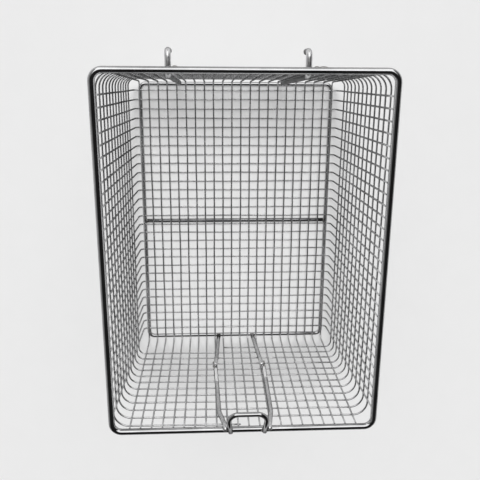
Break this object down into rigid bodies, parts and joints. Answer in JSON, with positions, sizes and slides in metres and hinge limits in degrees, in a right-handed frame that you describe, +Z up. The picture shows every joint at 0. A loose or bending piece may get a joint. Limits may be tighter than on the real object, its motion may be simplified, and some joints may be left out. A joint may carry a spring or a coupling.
{
  "type": "deep fryer basket",
  "caption": "Rectangular open-topped welded wire basket for a deep fryer, with fine wire mesh walls and base, a thick wire rim, a front loop for a handle and rear hanging hooks.",
  "frame": {"origin": "on the standing surface, below the middle of the overall size", "axes": "+X to the right across the basket, +Y from the handle loop at the front to the hooks at the back, +Z up"},
  "size_m": [0.1972, 0.2708, 0.164],
  "materials": {
    "mesh_wire": "bright drawn stainless wire",
    "frame_wire": "polished stainless wire"
  },
  "bodies": {
    "root": {"lengthwise_wire_01": "mesh_wire", "lengthwise_wire_02": "mesh_wire", "lengthwise_wire_03": "mesh_wire", "lengthwise_wire_04": "mesh_wire", "lengthwise_wire_05": "mesh_wire", "lengthwise_wire_06": "mesh_wire", "lengthwise_wire_07": "mesh_wire", "lengthwise_wire_08": "mesh_wire", "lengthwise_wire_09": "mesh_wire", "lengthwise_wire_10": "mesh_wire", "lengthwise_wire_11": "mesh_wire", "lengthwise_wire_12": "mesh_wire", "lengthwise_wire_13": "mesh_wire", "lengthwise_wire_14": "mesh_wire", "lengthwise_wire_15": "mesh_wire", "lengthwise_wire_16": "mesh_wire", "lengthwise_wire_17": "mesh_wire", "lengthwise_wire_18": "mesh_wire", "lengthwise_wire_19": "mesh_wire", "lengthwise_wire_20": "mesh_wire", "lengthwise_wire_21": "mesh_wire", "lengthwise_wire_22": "mesh_wire", "crosswise_wire_01": "mesh_wire", "crosswise_wire_02": "mesh_wire", "crosswise_wire_03": "mesh_wire", "crosswise_wire_04": "mesh_wire", "crosswise_wire_05": "mesh_wire", "crosswise_wire_06": "mesh_wire", "crosswise_wire_07": "mesh_wire", "crosswise_wire_08": "mesh_wire", "crosswise_wire_09": "mesh_wire", "crosswise_wire_10": "mesh_wire", "crosswise_wire_11": "mesh_wire", "crosswise_wire_12": "mesh_wire", "crosswise_wire_13": "mesh_wire", "crosswise_wire_14": "mesh_wire", "crosswise_wire_15": "mesh_wire", "crosswise_wire_16": "mesh_wire", "crosswise_wire_17": "mesh_wire", "crosswise_wire_18": "mesh_wire", "crosswise_wire_19": "mesh_wire", "crosswise_wire_20": "mesh_wire", "crosswise_wire_21": "mesh_wire", "crosswise_wire_22": "mesh_wire", "crosswise_wire_23": "mesh_wire", "crosswise_wire_24": "mesh_wire", "crosswise_wire_25": "mesh_wire", "crosswise_wire_26": "mesh_wire", "crosswise_wire_27": "mesh_wire", "crosswise_wire_28": "mesh_wire", "crosswise_wire_29": "mesh_wire", "spiral_wall_wire": "mesh_wire", "top_rim": "frame_wire", "base_frame": "frame_wire", "base_crossbar": "frame_wire", "left_hanging_hook": "frame_wire", "right_hanging_hook": "frame_wire", "handle_loop": "frame_wire", "left_bracket_leg": "frame_wire", "right_bracket_leg": "frame_wire"}
  },
  "joints": []
}
